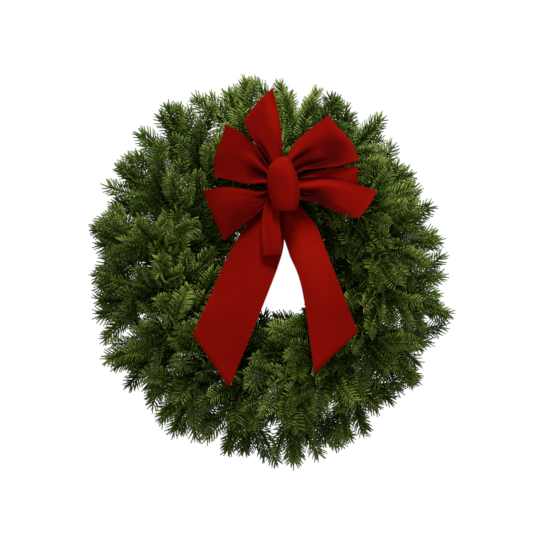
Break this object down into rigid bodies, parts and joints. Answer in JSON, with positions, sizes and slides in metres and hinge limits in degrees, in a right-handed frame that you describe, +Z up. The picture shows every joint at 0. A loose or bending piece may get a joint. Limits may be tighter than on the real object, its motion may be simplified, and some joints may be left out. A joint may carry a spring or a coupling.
{
  "type": "evergreen wreath",
  "caption": "Fresh fir wreath: sprays of needled twigs bound round a wire ring, with a red velvet ribbon bow, looped and tied near the top, and two long tails.",
  "frame": {"origin": "where a hook bears on the wreath: the underside of the ring wire, at the top", "axes": "hanging upright: +Z up, the bow and the foliage's face towards -Y, +X to the right of someone facing it"},
  "size_m": [0.5478, 0.1338, 0.5798],
  "materials": {
    "foliage": "waxy green needles on brown twigs",
    "velvet": "deep red velvet pile",
    "ring_wire": "dark green enamelled steel wire",
    "florist_wire": "thin green enamelled wire"
  },
  "bodies": {
    "root": {"binding_wire": "florist_wire", "bough_face_01": "foliage", "bough_face_02": "foliage", "bough_face_03": "foliage", "bough_face_04": "foliage", "bough_face_05": "foliage", "bough_face_06": "foliage", "bough_face_07": "foliage", "bough_face_08": "foliage", "bough_face_09": "foliage", "bough_face_10": "foliage", "bough_face_11": "foliage", "bough_face_12": "foliage", "bough_face_13": "foliage", "bough_face_14": "foliage", "bough_face_15": "foliage", "bough_face_16": "foliage", "bough_inner_01": "foliage", "bough_inner_02": "foliage", "bough_inner_03": "foliage", "bough_inner_04": "foliage", "bough_inner_05": "foliage", "bough_inner_06": "foliage", "bough_inner_07": "foliage", "bough_inner_08": "foliage", "bough_inner_09": "foliage", "bough_inner_10": "foliage", "bough_inner_11": "foliage", "bough_inner_12": "foliage", "bough_inner_13": "foliage", "bough_inner_14": "foliage", "bough_inner_15": "foliage", "bough_inner_16": "foliage", "bough_outer_01": "foliage", "bough_outer_02": "foliage", "bough_outer_03": "foliage", "bough_outer_04": "foliage", "bough_outer_05": "foliage", "bough_outer_06": "foliage", "bough_outer_07": "foliage", "bough_outer_08": "foliage", "bough_outer_09": "foliage", "bough_outer_10": "foliage", "bough_outer_11": "foliage", "bough_outer_12": "foliage", "bough_outer_13": "foliage", "bough_outer_14": "foliage", "bough_outer_15": "foliage", "bough_outer_16": "foliage", "bow_centre_loop": "velvet", "bow_front_loops": "velvet", "bow_rear_loops": "velvet", "bow_side_loop": "velvet", "bow_tails": "velvet", "bow_tie_wire": "florist_wire", "bow_upright_loops": "velvet", "wire_ring": "ring_wire"}
  },
  "joints": []
}
